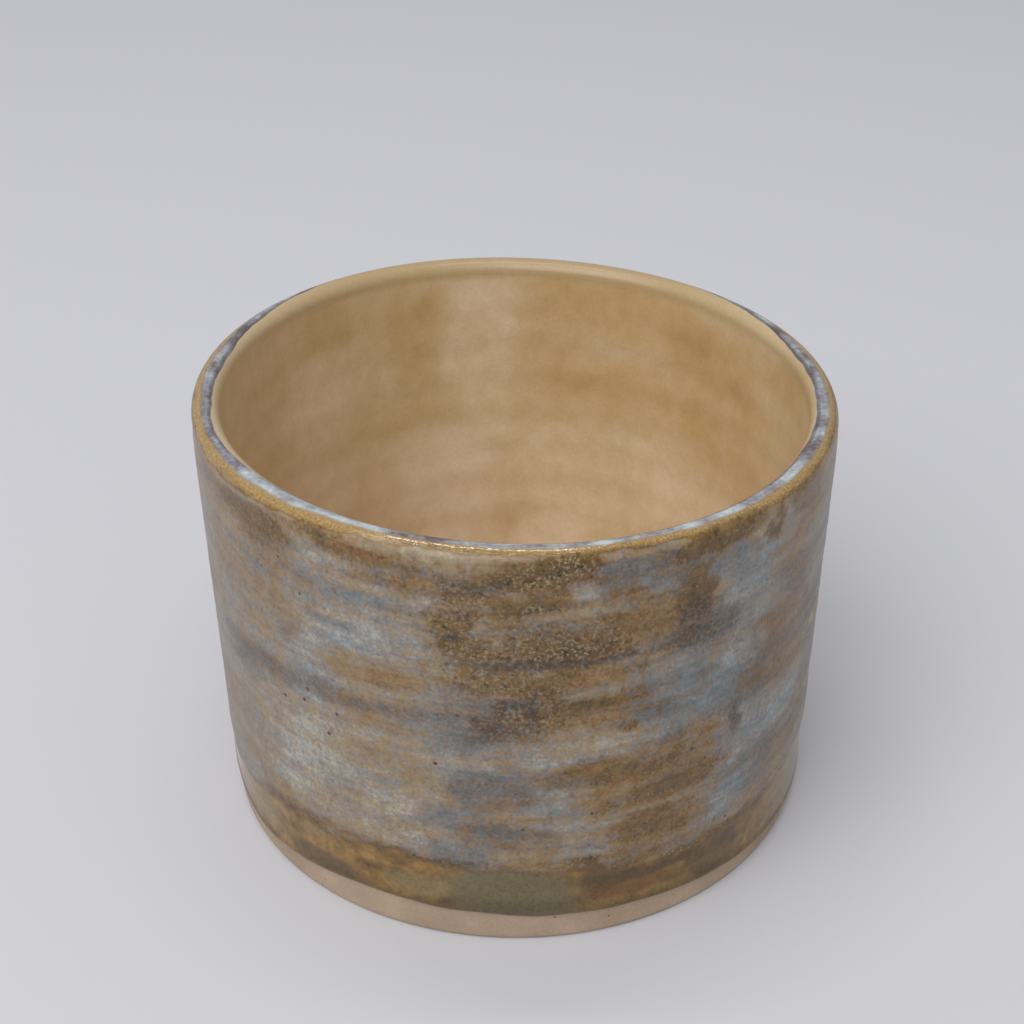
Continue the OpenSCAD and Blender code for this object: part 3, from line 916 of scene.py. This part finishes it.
# Stage: a plain pale floor under soft daylight, with a broad window light from the front left and a long
# narrow lamp overhead, which glints on the lip. Its lengths are metres.
floor_half = 3.0
floor_corners = [(floor_half * x, floor_half * y, 0) for x, y in ((-1, -1), (1, -1), (1, 1), (-1, 1))]
floor_mesh = bpy.data.meshes.new("floor")
floor_mesh.from_pydata(floor_corners, [], [(0, 1, 2, 3)])
floor = bpy.data.objects.new("floor", floor_mesh)
bpy.context.scene.collection.objects.link(floor)

# Matt pale paint, which takes a soft shadow and no glint.
floor_paint, tree, mm = new_material("pale_floor")
floor_shader = add(tree, "BsdfPrincipled", {"Base Color": linear("#cfcfd4"), "Roughness": 0.9})
add(tree, "OutputMaterial", {"Surface": floor_shader})
floor_mesh.materials.append(floor_paint)

world = bpy.data.worlds.new("soft_daylight")
bpy.context.scene.world = world
world.use_nodes = True
world.node_tree.nodes.clear()
sky = add(world.node_tree, "Background", {"Color": linear("#f3f4f6"), "Strength": 0.47})
add(world.node_tree, "OutputWorld", {"Surface": sky})

# Each lamp: its place, the point that it faces, its width and depth, and its watts.
for name, place, aim, wide, deep, watts in (
        ("window", (-0.28, -0.48, 0.78), (0, 0, 0.02), 0.85, 0.85, 6.5),
        ("ceiling_lamp", (-0.05, 0.16, 0.95), (-0.05, 0, 0.02), 0.5, 0.03, 1.1)):
    lamp = bpy.data.lights.new(name, "AREA")
    lamp.shape = "RECTANGLE"
    lamp.size = wide
    lamp.size_y = deep
    lamp.energy = watts
    lamp_object = bpy.data.objects.new(name, lamp)
    lamp_object.location = place
    lamp_object.rotation_euler = (Vector(aim) - Vector(place)).to_track_quat("-Z", "Y").to_euler()
    bpy.context.scene.collection.objects.link(lamp_object)

# Camera: where the photograph was taken from, close and looking down into the cup. Its place is in mm and its
# turns are in degrees.
frame_px = 1024
focal_px = 1700
eye_back = 155.9
eye_up = 126.8
yaw = 0.15
look_down = 31.54
roll = -0.40
lens = bpy.data.cameras.new("camera")
lens.sensor_fit = "HORIZONTAL"
lens.sensor_width = 36.0
lens.lens = focal_px / frame_px * lens.sensor_width
lens.clip_start = 0.01
camera = bpy.data.objects.new("camera", lens)
camera.matrix_world = (
    Matrix.Translation((0, -eye_back * MM, eye_up * MM))
    @ Matrix.Rotation(math.radians(yaw), 4, "Z")
    @ Matrix.Rotation(math.radians(90 - look_down), 4, "X")
    @ Matrix.Rotation(math.radians(roll), 4, "Z")
)
bpy.context.scene.collection.objects.link(camera)
bpy.context.scene.camera = camera
bpy.context.scene.view_settings.view_transform = "Standard"
